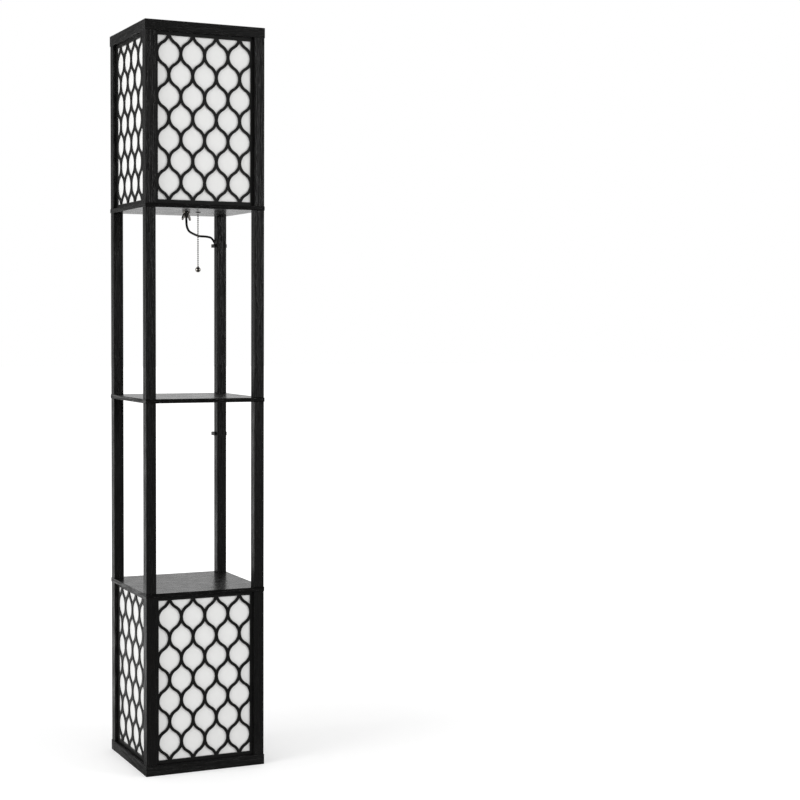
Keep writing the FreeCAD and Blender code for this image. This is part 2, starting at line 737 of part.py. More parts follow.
turn_x, turn_y = post_inner + lead_corner_x, lead_y + lead_corner_y
falls = [upper_bay_top - depth for depth in lead_fall] + [
    lower_bay_top - lower_clip_drop, lower_bay_bottom, lead_level + lead_leave]
upper_lead_route = [(0, 0, tube_top - lead_tube_start), (0, 0, tube_bottom - lead_tube_exit)]
upper_lead_route += [(share * turn_x, share * turn_y, upper_bay_top - depth) for share, depth in lead_sag]
upper_lead_route += [(post_centre + x, lead_y + y, z) for (x, y), z in zip(lead_wander, falls)]
upper_lead_route += [
    (upper_lead_x, post_inner + lead_swing, lead_level),
    (upper_lead_x, post_inner - lead_entry, lead_level),
    (upper_lead_x - inner_bend[0], post_inner - inner_bend[1], lead_level),
    (upper_lead_x - inner_turn[0], post_inner - inner_turn[1], lead_level),
    (base_reach * cos(pi / 6), base_reach * sin(pi / 6), lead_level),
    (base_cup_radius * cos(pi / 6), base_cup_radius * sin(pi / 6), lead_level)]
base_lead_route = [
    (base_cup_radius * cos(pi / 3), base_cup_radius * sin(pi / 3), lead_level),
    (base_reach * cos(pi / 3), base_reach * sin(pi / 3), lead_level),
    (grip_x - base_bend[0], grip_start - base_bend[1], lead_level),
    (grip_x, grip_start - base_run, lead_level), (grip_x, grip_start, lead_level)]
mains_lead_route = [(grip_x, grip_end, lead_level)]
mains_lead_route += [(grip_x + x, grip_end + y, z) for x, y, z in mains_fall]
mains_lead_route += [(switch_end + x, switch_y + y, coil_low) for x, y in mains_turn]
mains_lead_route.append((switch_end, switch_y, coil_low))

routes = {"upper_lead": upper_lead_route, "base_lead": base_lead_route, "mains_lead": mains_lead_route}
for name, route in routes.items():
    stations, bends = rounded_path(route)
    solid = lead(stations)
    check_lead(name, solid, stations, bends)
    export(solid, name)


# ------------------------------------------------------------------ foot switch and plug

bevelled = [
    (-switch_width / 2, 0), (switch_width / 2, 0), (switch_width / 2, switch_height - switch_bevel),
    (switch_width / 2 - switch_bevel, switch_height), (-switch_width / 2 + switch_bevel, switch_height),
    (-switch_width / 2, switch_height - switch_bevel)]
case = outline_face([V(-case_half, y, z) for y, z in bevelled]).extrude(V(switch_length, 0, 0))
snout_half = lead_diameter / 2 + snout_wall
snout_end = case_half + switch_snout
snout = box(-snout_end, snout_end, -snout_half, snout_half, 0, 2 * snout_half)
well_floor = switch_height + button_stand - button_height - button_travel - button_play
well = prism(turned_sides, button_radius + button_play, 0, 0, well_floor, switch_height)
case = case.fuse(snout).cut(well).removeSplitter()
export(moved(case, switch_x, switch_y), "foot_switch_case")

button_top = switch_height + button_stand
button_profile = [
    (0, button_top - button_height), (button_radius, button_top - button_height),
    (button_radius, button_top - button_chamfer), (button_radius - button_chamfer, button_top),
    (0, button_top)]
export(moved(turned(button_profile, turned_sides), switch_x, switch_y), "foot_switch_button")


def plug_section(x, width, height):
    signs = [(-1, -1), (1, -1), (1, 1), (-1, 1)]
    return [V(x, sy * width / 2, sz * height / 2) for sy, sz in signs]


# Flat two-blade plug, its neck tapering down to the lead; x runs from the lead to the blades
shoulder = plug_neck_length + plug_shoulder
body_end = plug_neck_length + plug_body_length
plug_body = skinned([
    plug_section(0, plug_neck_width, plug_neck_width),
    plug_section(plug_neck_length, plug_neck_end_width, plug_neck_end_height),
    plug_section(shoulder, plug_body_width, plug_body_height),
    plug_section(body_end, plug_body_width, plug_body_height)])
blades = [
    box(body_end - blade_root, body_end + blade_length, y - blade_thickness / 2, y + blade_thickness / 2,
        -blade_width / 2, blade_width / 2)
    for y in (-blade_spacing / 2, blade_spacing / 2)]
plug = plug_body.fuse(blades).removeSplitter()
export(moved(plug, coil_end.x, coil_end.y, coil_end.z), "plug")
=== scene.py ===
import math

import bmesh
import bpy
from mathutils import Matrix, Vector


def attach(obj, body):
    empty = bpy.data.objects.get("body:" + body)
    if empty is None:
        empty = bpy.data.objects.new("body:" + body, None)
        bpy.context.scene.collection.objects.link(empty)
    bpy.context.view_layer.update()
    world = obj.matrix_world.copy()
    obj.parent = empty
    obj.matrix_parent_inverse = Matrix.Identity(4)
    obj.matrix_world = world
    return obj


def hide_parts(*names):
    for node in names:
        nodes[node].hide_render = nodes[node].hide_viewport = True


# A shelf floor lamp: a square tower of black wood-grained posts and boards, with a latticed lantern
# at its head and another at its foot, and two open shelf bays between them.
# Metres throughout. The origin is on the floor at the centre of the plan, -Y is the front.

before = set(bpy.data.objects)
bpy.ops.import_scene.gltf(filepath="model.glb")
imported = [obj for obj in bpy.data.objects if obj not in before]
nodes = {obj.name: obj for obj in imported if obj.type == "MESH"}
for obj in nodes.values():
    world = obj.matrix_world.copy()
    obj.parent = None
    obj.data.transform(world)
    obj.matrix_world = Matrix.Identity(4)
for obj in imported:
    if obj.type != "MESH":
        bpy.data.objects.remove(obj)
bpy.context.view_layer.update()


# ---------------------------------------------------------------- camera
# A long lens a little above half the lamp's height, turned past it so that the lamp stands
# in the left part of the picture.

picture_width = 800
focal_pixels = 1715.3
camera_place = (-1.1956, -3.6221, 0.9746)
camera_turns = (-25.374, -2.676, 0.285)      # yaw, pitch and roll, in degrees

camera_data = bpy.data.cameras.new("camera")
camera_data.sensor_width = 36.0
camera_data.lens = camera_data.sensor_width * focal_pixels / picture_width
camera_data.clip_start = 0.05
camera = bpy.data.objects.new("camera", camera_data)
bpy.context.scene.collection.objects.link(camera)
yaw, pitch, roll = (math.radians(turn) for turn in camera_turns)
camera.matrix_world = Matrix.Translation(camera_place) @ (
    Matrix.Rotation(yaw, 4, "Z")
    @ Matrix.Rotation(math.pi / 2 + pitch, 4, "X")
    @ Matrix.Rotation(roll, 4, "Z"))
bpy.context.scene.camera = camera


# ---------------------------------------------------------------- leads
# Round black two-core flex with a smooth rubbery jacket. The upper lead hangs from the holder's
# tube, is clipped down the back right post and goes in through the back rail. The mains lead
# leaves the same rail through a cord grip, passes the foot switch, and is put away in a flat coil.

lead_diameter = 0.005
lead_rest = 0.00252          # centre of a lead that lies on the floor


def add_node(tree, kind, feeds=None, **settings):
    """A node whose inputs take plain values, outputs of other nodes, or a list of outputs."""
    node = tree.nodes.new(kind)
    for setting, value in settings.items():
        setattr(node, setting, value)
    for socket, feed in (feeds or {}).items():
        for source in feed if isinstance(feed, list) else [feed]:
            if isinstance(source, bpy.types.NodeSocket):
                tree.links.new(source, node.inputs[socket])
            else:
                node.inputs[socket].default_value = source
    return node


def mixed(tree, mask, low, high, kind="FLOAT"):
    """A value, or as RGBA a colour, between two by a mask."""
    mix = add_node(tree, "ShaderNodeMix", {"Factor": mask, "A": low, "B": high}, data_type=kind)
    return mix.outputs["Result"]


def spread(tree, mask, low, high):
    """A value between two that the mask runs through evenly."""
    return add_node(
        tree, "ShaderNodeMapRange", {"Value": mask, "To Min": low, "To Max": high}).outputs[0]


def object_mapping(tree, scale=(1, 1, 1)):
    """The piece's own coordinates, stretched by the scale."""
    place = add_node(tree, "ShaderNodeTexCoord").outputs["Object"]
    return add_node(tree, "ShaderNodeMapping", {"Vector": place, "Scale": scale}).outputs[0]


def noise(group, start, scale, detail, distortion=0.0):
    """Noise over the group's vector, at the scale of one of the group's inputs."""
    return add_node(group, "ShaderNodeTexNoise", {
        "Vector": start.outputs["Vector"], "Scale": start.outputs[scale], "Detail": detail,
        "Distortion": distortion}).outputs[0]


def effect_group(name, scales, masks):
    """An empty shader effect with a vector, named scales and named masks; returns its ends too."""
    group = bpy.data.node_groups.new(name, "ShaderNodeTree")
    group.interface.new_socket(name="Vector", in_out="INPUT", socket_type="NodeSocketVector")
    for scale, value in scales.items():
        socket = group.interface.new_socket(name=scale, in_out="INPUT", socket_type="NodeSocketFloat")
        socket.default_value = value
    for mask in masks:
        group.interface.new_socket(name=mask, in_out="OUTPUT", socket_type="NodeSocketFloat")
    return group, group.nodes.new("NodeGroupInput"), group.nodes.new("NodeGroupOutput")


def moulding_group():
    """Fine uneven skin of moulded and painted surfaces: a soft mottle and a small-scale relief."""
    group, start, end = effect_group(
        "moulded_skin", {"Skin Scale": 900, "Mottle Scale": 40}, ("Mottle", "Height"))
    group.links.new(noise(group, start, "Mottle Scale", 5), end.inputs["Mottle"])
    group.links.new(noise(group, start, "Skin Scale", 3), end.inputs["Height"])
    return group


def new_material(name, **values):
    """A material with its shader's plain values set; returns it with its tree and shader."""
    material = bpy.data.materials.new(name)
    material.use_nodes = True
    tree = material.node_tree
    shader = tree.nodes["Principled BSDF"]
    for socket, value in values.items():
        shader.inputs[socket.replace("_", " ")].default_value = value
    return material, tree, shader


def surface(tree, shader, colour, roughness, height, depth, strength):
    """Feeds a shader its colour, its roughness, and a relief of some depth."""
    bump = add_node(
        tree, "ShaderNodeBump", {"Height": height, "Distance": depth, "Strength": strength})
    tree.links.new(colour, shader.inputs["Base Color"])
    tree.links.new(roughness, shader.inputs["Roughness"])
    tree.links.new(bump.outputs["Normal"], shader.inputs["Normal"])


moulded_skin = moulding_group()


def moulded_finish(name, dark, pale, smooth, rough, skin_scale=900.0, depth=0.00008, **values):
    """A moulded or painted surface: colour and gloss vary a little, over a fine skin."""
    material, tree, shader = new_material(name, **values)
    skin = add_node(
        tree, "ShaderNodeGroup", {"Vector": object_mapping(tree), "Skin Scale": skin_scale},
        node_tree=moulded_skin).outputs
    surface(
        tree, shader, mixed(tree, skin["Mottle"], (*dark, 1), (*pale, 1), "RGBA"),
        spread(tree, skin["Mottle"], smooth, rough), skin["Height"], depth, 0.4)
    return material


lead_jacket = moulded_finish(
    "lead_jacket", (0.001, 0.001, 0.001), (0.003, 0.003, 0.003), 0.45, 0.56, Specular_IOR_Level=0.1)


def show(obj, node, body="frame"):
    """Shows a finished object in place of a CAD node, with the body that the node moves with."""
    bpy.context.scene.collection.objects.link(obj)
    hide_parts(node)
    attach(obj, body)
    return obj


def flex(name, points, node):
    """A round lead whose line is a smooth spline led by its route's points."""
    curve = bpy.data.curves.new(name, "CURVE")
    curve.dimensions = "3D"
    curve.bevel_depth = lead_diameter / 2
    curve.bevel_resolution = 6
    curve.resolution_u = 8
    curve.use_fill_caps = True
    line = curve.splines.new("NURBS")
    line.points.add(len(points) - 1)
    for point, place in zip(line.points, points):
        point.co = (*place, 1)
    line.order_u = 3
    line.use_endpoint_u = True
    curve.materials.append(lead_jacket)
    return show(bpy.data.objects.new(name, curve), node)


upper_route = [
    (0, 0, 1.221), (0, 0, 1.189), (0.0026, 0.0033, 1.176), (0.0104, 0.0131, 1.1675),
    (0.0254, 0.0322, 1.1638), (0.0497, 0.063, 1.1598), (0.0707, 0.0897, 1.161),
    (0.0875, 0.1109, 1.1615), (0.108, 0.1369, 1.16), (0.1194, 0.1362, 1.136),
    (0.1216, 0.1363, 1.104), (0.1222, 0.1364, 1.06), (0.1214, 0.1364, 0.7105),
    (0.1219, 0.1366, 0.391), (0.1212, 0.1365, 0.112), (0.1, 0.1485, 0.0155),
    (0.1, 0.1074, 0.0155), (0.099, 0.0925, 0.0155), (0.088, 0.0705, 0.0155),
    (0.0537, 0.031, 0.0155), (0.026, 0.015, 0.0155)]
flex("upper_lead_flex", upper_route, "upper_lead")

base_route = [
    (0.015, 0.026, 0.0155), (0.031, 0.0537, 0.0155), (0.057, 0.068, 0.0155),
    (0.07, 0.09, 0.0155), (0.07, 0.108, 0.0155)]
flex("base_lead_flex", base_route, "base_lead")

mains_route = [
    (0.07, 0.1655, 0.0155), (0.07, 0.178, 0.0155), (0.0702, 0.1905, 0.0098),
    (0.0708, 0.2013, 0.0046), (0.0709, 0.2171, lead_rest), (0.0629, 0.231, lead_rest),
    (0.049, 0.239, lead_rest), (0.033, 0.239, lead_rest)]
mains_flex = flex("mains_lead_flex", mains_route, "mains_lead")

coil_centre = (-0.061, 0.1973)
coil_mid_radius = 0.0305
coil_turns = 4               # in each of its two layers
coil_pitch = 0.0056
coil_draw = 0.0012           # how far the climb from layer to layer is drawn in
coil_chords = 14
coil_switch_tail = 0.036
coil_plug_tail = 0.010
coil_outer = coil_mid_radius + coil_turns * coil_pitch / 2


def coil_station(turns):
    """Point after so many turns: from the outside in, up a layer in half a turn, and out again."""
    angle = math.pi / 2 + 2 * math.pi * turns
    climb = min(max(2 * (turns - coil_turns), 0), 1)
    wound = coil_turns - abs(turns - coil_turns - 0.25) + 0.25
    drawn = coil_draw * math.sin(math.pi * climb)
    radius = coil_outer - min(wound, coil_turns) * coil_pitch - drawn
    height = lead_rest + coil_pitch * (1 - math.cos(math.pi * climb)) / 2
    x, y = coil_centre
    return (x + radius * math.cos(angle), y + radius * math.sin(angle), height)


coil_steps = int((2 * coil_turns + 0.5) * coil_chords)
winding = [coil_station(step / coil_chords) for step in range(coil_steps + 1)]
coil_start = (winding[0][0] + coil_switch_tail, *winding[0][1:])
coil_end = (winding[-1][0] + coil_plug_tail, *winding[-1][1:])
coil_flex = flex("coiled_lead_flex", [coil_start, *winding, coil_end], "lead_coil")


# ---------------------------------------------------------------- rails, posts and boards
# Fibreboard wrapped in black foil with a printed and pressed wood grain. The grain runs along
# each piece. Edges are eased by the foil's fold. Studs and screws join them end to end.

edge_ease = 0.0007
foil_dark, foil_pale = (0.0010, 0.0010, 0.0009, 1), (0.0024, 0.0023, 0.0021, 1)
foil_streak = (0.0078, 0.0076, 0.0073, 1)
grain_stretch = 0.055        # scale along the grain, against 1 across it


def smoothed(tree, value, from_min, from_max, to_min=0.0, to_max=1.0):
    """A value carried from one range into another, easing at its ends."""
    return add_node(tree, "ShaderNodeMapRange", {
        "Value": value, "From Min": from_min, "From Max": from_max, "To Min": to_min,
        "To Max": to_max}, interpolation_type="SMOOTHSTEP").outputs[0]


def maths(tree, operation, *values, **settings):
    """One step of arithmetic on plain values or outputs."""
    return add_node(
        tree, "ShaderNodeMath", dict(enumerate(values)), operation=operation, **settings).outputs[0]


def grain_group():
    """Pressed wood grain along one axis: broad streaks, short pores and slow changes of tone."""
    masks = ("Streaks", "Pores", "Tone", "Height")
    group, start, end = effect_group(
        "pressed_grain", {"Streak Scale": 340, "Pore Scale": 800, "Tone Scale": 60}, masks)
    streaks = smoothed(group, noise(group, start, "Streak Scale", 4, 0.3), 0.38, 0.62)
    pores = smoothed(group, noise(group, start, "Pore Scale", 2), 0.54, 0.64)
    tone = smoothed(group, noise(group, start, "Tone Scale", 3, 0.8), 0.3, 0.7)
    height = maths(group, "MULTIPLY_ADD", pores, -0.8, streaks)
    for mask, value in zip(masks, (streaks, pores, tone, height)):
        group.links.new(value, end.inputs[mask])
    return group


pressed_grain = grain_group()


def foil_finish(name, along, rough=0.5, smooth=0.2, depth=0.0003):
    """Black wood-grained foil whose grain runs along one axis: 0, 1 or 2."""
    material, tree, shader = new_material(name, Specular_IOR_Level=0.35)
    scale = tuple(grain_stretch if axis == along else 1.0 for axis in range(3))
    grain = add_node(
        tree, "ShaderNodeGroup", {"Vector": object_mapping(tree, scale)},
        node_tree=pressed_grain).outputs
    tone = mixed(tree, grain["Tone"], foil_dark, foil_pale, "RGBA")
    gloss = maths(tree, "MULTIPLY_ADD", grain["Pores"], -0.9, grain["Streaks"], use_clamp=True)
    surface(
        tree, shader, mixed(tree, grain["Streaks"], tone, foil_streak, "RGBA"),
        spread(tree, gloss, rough, smooth), grain["Height"], depth, 0.55)
    return material


foil_along_x = foil_finish("black_foil_along_x", 0)
foil_along_y = foil_finish("black_foil_along_y", 1)
foil_upright = foil_finish("black_foil_upright", 2)
foil_board = foil_finish("black_foil_board", 0, rough=0.3, smooth=0.1, depth=0.00016)


def finished(node, material, ease, edging=None):
    """The CAD node's own shape, flats merged and edges eased; faces across X may take an edging."""
    mesh = nodes[node].data.copy()
    mesh.name = f"{node}_finished"
    work = bmesh.new()
    work.from_mesh(mesh)
    bmesh.ops.remove_doubles(work, verts=work.verts, dist=1e-6)
    bmesh.ops.dissolve_limit(
        work, angle_limit=math.radians(0.5), verts=work.verts, edges=work.edges, delimit={"NORMAL"})
    work.to_mesh(mesh)
    work.free()
    mesh.materials.clear()
    mesh.materials.append(material)
    if edging:
        mesh.materials.append(edging)
        for polygon in mesh.polygons:
            polygon.material_index = int(abs(polygon.normal.x) > 0.9)
    obj = bpy.data.objects.new(f"{node}_finished", mesh)
    bevel = obj.modifiers.new("eased_edges", "BEVEL")
    bevel.width = ease
    bevel.segments = 2
    bevel.limit_method = "ANGLE"
    bevel.angle_limit = math.radians(40)
    return show(obj, node)


for foil, sides in ((foil_along_x, ("front", "back")), (foil_along_y, ("left", "right"))):
    for side in sides:
        finished(f"top_rail_{side}", foil, edge_ease)
        finished(f"bottom_rail_{side}", foil, edge_ease)
for level in ("lower_lantern_post", "lower_bay_post", "upper_bay_post", "upper_lantern_post"):
    for corner in ("front_left", "front_right", "back_right", "back_left"):
        finished(f"{level}_{corner}", foil_upright, edge_ease)
for board in ("lower_lantern_top", "middle_shelf", "upper_lantern_floor", "bottom_board"):
    finished(board, foil_board, edge_ease, edging=foil_along_y)


# ---------------------------------------------------------------- screws and studs
# Zinc-plated steel. Cross-recessed countersunk screws hold the top and bottom frames to the posts,
# the bottom board to its rails and the lower holder to the board. Plain studs join the posts
# through the boards.

lamp_top = 1.6
post_spacing = 0.243
board_recess = 0.003
board_screw_spacing = (0.117, 0.2272)
holder_screw_offset = 0.015
zinc = moulded_finish(
    "zinc_plate", (0.42, 0.42, 0.41), (0.6, 0.6, 0.59), 0.24, 0.4, 1400.0, 0.00003, Metallic=1.0)


def lathe(profile, count):
    """A bmesh turned about Z from an open profile of (radius, height) points."""
    work = bmesh.new()
    angles = [2 * math.pi * i / count for i in range(count)]
    rings = []
    for radius, height in profile:
        if radius == 0:
            rings.append([work.verts.new((0, 0, height))])
        else:
            rings.append([
                work.verts.new((radius * math.cos(a), radius * math.sin(a), height)) for a in angles])
    for near, far in zip(rings, rings[1:]):
        for i in range(max(len(near), len(far)) if len(near) + len(far) > 2 else 0):
            corners = [near[i - 1], near[i]] if len(near) > 1 else [near[0]]
            corners += [far[i], far[i - 1]] if len(far) > 1 else [far[0]]
            work.faces.new(corners)
    bmesh.ops.remove_doubles(work, verts=work.verts, dist=1e-7)
    bmesh.ops.recalc_face_normals(work, faces=work.faces)
    return work


def band(work, near, far):
    """Faces between two rings of as many points."""
    for i in range(len(near)):
        work.faces.new([near[i - 1], near[i], far[i], far[i - 1]])


def threaded(radius, depth, pitch, z0, z1, count):
    """A helical thread as a closed bmesh: rings whose radius rises and falls round the helix."""
    work = bmesh.new()
    steps = max(int((z1 - z0) / pitch * 6), 6)
    rings = []
    for i in range(steps + 1):
        z = z0 + (z1 - z0) * i / steps
        fade = min(1, (z - z0) / pitch, (z1 - z) / pitch)
        ring = []
        for j in range(count):
            phase = ((z - z0) / pitch - j / count) % 1
            r = radius - depth * (1 - fade * (1 - abs(2 * phase - 1)))
            angle = 2 * math.pi * j / count
            ring.append(work.verts.new((r * math.cos(angle), r * math.sin(angle), z)))
        rings.append(ring)
    for near, far in zip(rings, rings[1:]):
        band(work, near, far)
    work.faces.new(list(reversed(rings[0])))
    work.faces.new(rings[-1])
    bmesh.ops.recalc_face_normals(work, faces=work.faces)
    return work


def cube():
    """A cube of unit size to be eased or stretched into a solid part."""
    work = bmesh.new()
    bmesh.ops.create_cube(work, size=1)
    return work


def add_mesh(work, other, matrix=Matrix.Identity(4)):
    """Adds one bmesh to another and frees it."""
    mesh = bpy.data.meshes.new("part")
    other.transform(matrix)
    other.to_mesh(mesh)
    other.free()
    work.from_mesh(mesh)
    bpy.data.meshes.remove(mesh)


def smooth_mesh(work, name, *materials, sharp=35):
    """The bmesh as a mesh, smooth but for its sharp edges."""
    mesh = bpy.data.meshes.new(name)
    work.to_mesh(mesh)
    work.free()
    for polygon in mesh.polygons:
        polygon.use_smooth = True
    mesh.set_sharp_from_angle(angle=math.radians(sharp))
    for material in materials:
        mesh.materials.append(material)
    return mesh


def evaluated_mesh(obj):
    """The plain mesh that an object's modifiers make of it."""
    depsgraph = bpy.context.evaluated_depsgraph_get()
    return bpy.data.meshes.new_from_object(obj.evaluated_get(depsgraph), depsgraph=depsgraph)


def screw_mesh(radius, length, head_height):
    """A wood screw that points up, its head's face at z = 0, with a cross recess."""
    head = 2 * radius
    work = lathe([
        (0, 0), (head * 0.985, 0), (head, head * 0.02), (radius * 0.8, head_height),
        (0, head_height)], 32)
    add_mesh(work, threaded(
        radius, radius * 0.28, radius * 0.9, head_height * 0.9, length * 0.96, 16))
    recess = bmesh.new()
    arm_size = Matrix.Diagonal((head * 1.1, head * 0.2, head * 0.5, 1))
    for turn in (0, math.pi / 2):
        add_mesh(recess, cube(), Matrix.Rotation(turn, 4, "Z") @ arm_size)
    cutter = bpy.data.objects.new("recess", smooth_mesh(recess, "recess"))
    blank = bpy.data.objects.new("blank", smooth_mesh(work, "screw", zinc))
    for obj in (cutter, blank):
        bpy.context.scene.collection.objects.link(obj)
    cut = blank.modifiers.new("recess", "BOOLEAN")
    cut.object = cutter
    cut.operation = "DIFFERENCE"
    cut.use_self = True
    mesh = evaluated_mesh(blank)
    bpy.data.objects.remove(blank)
    bpy.data.objects.remove(cutter)
    return mesh


def geometry_tree(name, sizes, counts=()):
    """A geometry tree with a seed, named sizes and counts, and a finish; returns its ends too."""
    tree = bpy.data.node_groups.new(name, "GeometryNodeTree")
    tree.interface.new_socket(name="Geometry", in_out="INPUT", socket_type="NodeSocketGeometry")
    for size in sizes:
        tree.interface.new_socket(name=size, in_out="INPUT", socket_type="NodeSocketFloat")
    for count in counts:
        tree.interface.new_socket(name=count, in_out="INPUT", socket_type="NodeSocketInt")
    tree.interface.new_socket(name="Finish", in_out="INPUT", socket_type="NodeSocketMaterial")
    tree.interface.new_socket(name="Geometry", in_out="OUTPUT", socket_type="NodeSocketGeometry")
    return tree, tree.nodes.new("NodeGroupInput").outputs, tree.nodes.new("NodeGroupOutput")


def step_in(tree, kind, feeds=None, **settings):
    """What a new node makes, at its first output."""
    return add_node(tree, kind, feeds, **settings).outputs[0]


def close_tree(tree, given, end, geometry):
    """Ends a tree with Realize Instances and Set Material."""
    real = step_in(tree, "GeometryNodeRealizeInstances", {"Geometry": geometry})
    covered = step_in(
        tree, "GeometryNodeSetMaterial", {"Geometry": real, "Material": given["Finish"]})
    tree.links.new(covered, end.inputs["Geometry"])


def grown(seed, tree, **sizes):
    """Runs a geometry tree once over a seed mesh and returns the plain mesh that it makes."""
    obj = bpy.data.objects.new(tree.name, seed)
    bpy.context.scene.collection.objects.link(obj)
    step = obj.modifiers.new(tree.name, "NODES")
    step.node_group = tree
    for item in tree.interface.items_tree:
        key = item.name.replace(" ", "_")
        if item.item_type == "SOCKET" and item.in_out == "INPUT" and key in sizes:
            step[item.identifier] = sizes[key]
    mesh = evaluated_mesh(obj)
    bpy.data.objects.remove(obj)
    return mesh


def corner_tree():
    """Sets the seed at the four corners of a rectangle."""
    tree, given, end = geometry_tree("at_four_corners", ("Spacing X", "Spacing Y"))
    grid = step_in(tree, "GeometryNodeMeshGrid", {
        "Vertices X": 2, "Vertices Y": 2, "Size X": given["Spacing X"], "Size Y": given["Spacing Y"]})
    copies = step_in(
        tree, "GeometryNodeInstanceOnPoints", {"Points": grid, "Instance": given["Geometry"]})
    close_tree(tree, given, end, copies)
    return tree


def in_one(name, meshes):
    """Several meshes of one finish as one mesh."""
    work = bmesh.new()
    for mesh in meshes:
        work.from_mesh(mesh)
    whole = bpy.data.meshes.new(name)
    work.to_mesh(whole)
    work.free()
    for material in meshes[0].materials:
        whole.materials.append(material)
    return whole


def add_piece(name, mesh, node, body="frame"):
    """Shows a mesh as a piece of its own name."""
    return show(bpy.data.objects.new(name, mesh), node, body)


at_four_corners = corner_tree()

rising = grown(
    screw_mesh(radius=0.0023, length=0.042, head_height=0.0026), at_four_corners,
    Spacing_X=post_spacing, Spacing_Y=post_spacing, Finish=zinc)
driven = rising.copy()
driven.transform(Matrix.Translation((0, 0, lamp_top)) @ Matrix.Rotation(math.pi, 4, "X"))
add_piece(
    "frame_screws_cut", in_one("frame_screws_cut", [rising, driven]), "frame_screws")

board_screw = screw_mesh(radius=0.0016, length=0.015, head_height=0.0026)
board_screws = [grown(
    board_screw, at_four_corners, Spacing_X=board_screw_spacing[0],
    Spacing_Y=board_screw_spacing[1], Finish=zinc)]
board_screws[0].transform(Matrix.Translation((0, 0, board_recess)))
for x in (-holder_screw_offset, holder_screw_offset):
    holder_screw = board_screw.copy()
    holder_screw.transform(Matrix.Translation((x, 0, board_recess)))
    board_screws.append(holder_screw)
add_piece(
    "board_screws_cut", in_one("board_screws_cut", board_screws), "bottom_board_screws")
finished("post_studs", zinc, 0.0004)


# ---------------------------------------------------------------- lattice panels
# Cut by laser from thin black-stained board in an ogee pattern. Each panel slides into
# grooves in its two posts, and its border stands against the rail and the board.

column_pitch = 0.0526
row_pitch = 0.04483
strand_width = 0.006
lattice_thickness = 0.003
lattice_front = -0.1255
half_window = 0.1035
half_panel = 0.1152
lantern_spans = {"lower": (0.022, 0.382), "upper": (1.218, 1.578)}
side_turns = {"front": 0, "right": 90, "back": 180, "left": 270}
end_border = 0.008
panel_play = 0.0003
cell_arc_steps = 8

black_stain = moulded_finish(
    "black_stain", (0.004, 0.004, 0.0038), (0.010, 0.0098, 0.0092), 0.36, 0.5, 700.0, 0.0001,
    Specular_IOR_Level=0.35)


def ogee_outline(arc_steps):
    """Outline of one cell in XY: bellies about its own centre, shoulders about its neighbours'."""
    half = column_pitch / 2
    belly = (math.hypot(half, row_pitch) - strand_width) / 2
    shoulder = belly + strand_width
    meeting = math.atan2(row_pitch, half)
    apex_angle = math.asin(half / shoulder)
    start_angle = math.pi / 2 - meeting
    right = []
    for i in range(arc_steps):
        angle = apex_angle + (start_angle - apex_angle) * i / arc_steps
        right.append((half - shoulder * math.sin(angle), row_pitch - shoulder * math.cos(angle)))
    for i in range(2 * arc_steps + 1):
        angle = meeting * (1 - i / arc_steps)
        right.append((belly * math.cos(angle), belly * math.sin(angle)))
    for i in range(arc_steps - 1, 0, -1):
        right.append((right[i][0], -right[i][1]))
    return right + [(-x, -y) for x, y in right]


def ogee_seed():
    """One cell's outline as a closed line of edges."""
    work = bmesh.new()
    verts = [work.verts.new((x, y, 0)) for x, y in ogee_outline(cell_arc_steps)]
    for a, b in zip(verts, verts[1:] + verts[:1]):
        work.edges.new((a, b))
    mesh = bpy.data.meshes.new("ogee_cell")
    work.to_mesh(mesh)
    work.free()
    return mesh


def lattice_tree():
    """Cells on two interleaved grids, cut off at the window, taken out of a plate."""
    tree, given, end = geometry_tree(
        "ogee_lattice", ("Column Pitch", "Row Pitch", "Half Window", "Half Opening", "Plate Width",
                         "Plate Height", "Thickness"), ("Columns", "Rows"))

    def step(kind, feeds=None, **settings):
        return step_in(tree, f"GeometryNode{kind}", feeds, **settings)

    def sum_of(operation, a, b):
        return maths(tree, operation, a, b)

    outline = step("MeshToCurve", {"Mesh": given["Geometry"]})
    double_row = sum_of("MULTIPLY", given["Row Pitch"], 2)
    cells = []
    for fewer in (0, 1):
        columns = sum_of("SUBTRACT", given["Columns"], fewer)
        rows = sum_of("SUBTRACT", given["Rows"], fewer)
        grid = step("MeshGrid", {
            "Size X": sum_of("MULTIPLY", given["Column Pitch"], sum_of("SUBTRACT", columns, 1)),
            "Size Y": sum_of("MULTIPLY", double_row, sum_of("SUBTRACT", rows, 1)),
            "Vertices X": columns, "Vertices Y": rows})
        cells.append(step("InstanceOnPoints", {"Points": grid, "Instance": outline}))
    real = step("RealizeInstances", {"Geometry": step("JoinGeometry", {"Geometry": cells})})
    place = add_node(tree, "ShaderNodeSeparateXYZ", {0: step("InputPosition")}).outputs
    kept = {}
    for axis, limit in (("X", "Half Window"), ("Y", "Half Opening")):
        low = sum_of("MULTIPLY", given[limit], -1)
        kept[axis] = sum_of("MAXIMUM", low, sum_of("MINIMUM", given[limit], place[axis]))
    cut_off = step(
        "SetPosition", {"Geometry": real, "Position": step_in(tree, "ShaderNodeCombineXYZ", kept)})
    plate = step("CurvePrimitiveQuadrilateral", {
        "Width": given["Plate Width"], "Height": given["Plate Height"]})
    fill = step("FillCurve", {"Curve": step("JoinGeometry", {"Geometry": [plate, cut_off]})})
    thick = step("ExtrudeMesh", {
        "Mesh": fill, "Offset": step_in(tree, "ShaderNodeCombineXYZ", {"Z": given["Thickness"]}),
        "Individual": False}, mode="FACES")
    back = step("FlipFaces", {"Mesh": fill})
    shell = step("JoinGeometry", {"Geometry": [thick, back]})
    close_tree(
        tree, given, end, step("MergeByDistance", {"Geometry": shell, "Distance": 1e-6}))
    return tree


